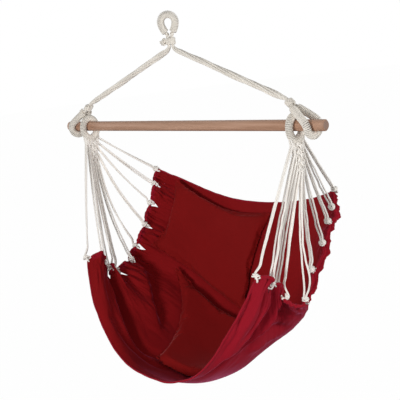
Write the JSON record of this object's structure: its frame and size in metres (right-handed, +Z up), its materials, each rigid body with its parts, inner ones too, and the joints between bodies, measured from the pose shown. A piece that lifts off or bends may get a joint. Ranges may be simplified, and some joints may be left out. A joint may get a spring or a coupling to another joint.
{
  "type": "hammock chair",
  "caption": "Hanging hammock chair: a cloth sling seat on knotted cords below a round wooden spreader bar and a rope eye, with loose back and seat cushions.",
  "frame": {"origin": "inside top of the hanging eye, where the hook bears", "axes": "+Z up; the spreader bar runs along X; the sitter faces -Y"},
  "size_m": [1, 0.5555, 1.0202],
  "materials": {
    "bar_wood": "smooth turned hardwood with an oiled satin finish",
    "cotton_rope": "natural cotton rope whipped with twine",
    "cotton_cord": "soft twisted natural cotton cord",
    "seat_cloth": "plain woven matt cotton cloth",
    "cushion_cloth": "plain woven matt cotton cushion cover"
  },
  "bodies": {
    "top_eye": {"top_eye_core": "cotton_rope", "top_eye_whipping": "cotton_rope", "eye_seizing": "cotton_rope"},
    "suspension": {"leg_left": "cotton_rope", "loop_core_left": "cotton_rope", "loop_whipping_left": "cotton_rope", "loop_seizing_left": "cotton_rope", "leg_right": "cotton_rope", "loop_core_right": "cotton_rope", "loop_whipping_right": "cotton_rope", "loop_seizing_right": "cotton_rope"},
    "spreader_bar": {"spreader_bar": "bar_wood"},
    "seat": {"ring_core_left": "cotton_rope", "ring_whipping_left": "cotton_rope", "clew_weave_left": "cotton_rope", "border_cord_left": "cotton_cord", "ring_core_right": "cotton_rope", "ring_whipping_right": "cotton_rope", "clew_weave_right": "cotton_rope", "border_cord_right": "cotton_cord", "cord_left_01": "cotton_cord", "cord_left_02": "cotton_cord", "cord_left_03": "cotton_cord", "cord_left_04": "cotton_cord", "cord_left_05": "cotton_cord", "cord_left_06": "cotton_cord", "cord_left_07": "cotton_cord", "cord_left_08": "cotton_cord", "cord_left_09": "cotton_cord", "cord_left_10": "cotton_cord", "cord_left_11": "cotton_cord", "cord_right_01": "cotton_cord", "cord_right_02": "cotton_cord", "cord_right_03": "cotton_cord", "cord_right_04": "cotton_cord", "cord_right_05": "cotton_cord", "cord_right_06": "cotton_cord", "cord_right_07": "cotton_cord", "cord_right_08": "cotton_cord", "cord_right_09": "cotton_cord", "cord_right_10": "cotton_cord", "cord_right_11": "cotton_cord", "seat_fabric": "seat_cloth"},
    "back_cushion": {"back_cushion": "cushion_cloth"},
    "seat_cushion": {"seat_cushion": "cushion_cloth"}
  },
  "joints": [
    {"name": "hang_twist", "type": "hinge", "parent": "top_eye", "child": "suspension", "pos_m": [0, 0, -0.0743], "axis": [0, 0, 1], "range_deg": [-90, 90]},
    {"name": "bar_roll", "type": "hinge", "parent": "suspension", "child": "spreader_bar", "pos_m": [0, 0, -0.305], "axis": [1, 0, 0], "continuous": true},
    {"name": "seat_swing", "type": "hinge", "parent": "suspension", "child": "seat", "pos_m": [0, 0, -0.305], "axis": [1, 0, 0], "range_deg": [-35, 35]},
    {"name": "back_cushion_lift", "type": "slide", "parent": "seat", "child": "back_cushion", "axis": [0, -0.898, 0.44], "range_m": [0, 0.62]},
    {"name": "seat_cushion_lift", "type": "slide", "parent": "seat", "child": "seat_cushion", "axis": [0, -0.898, 0.44], "range_m": [0, 0.62]}
  ]
}
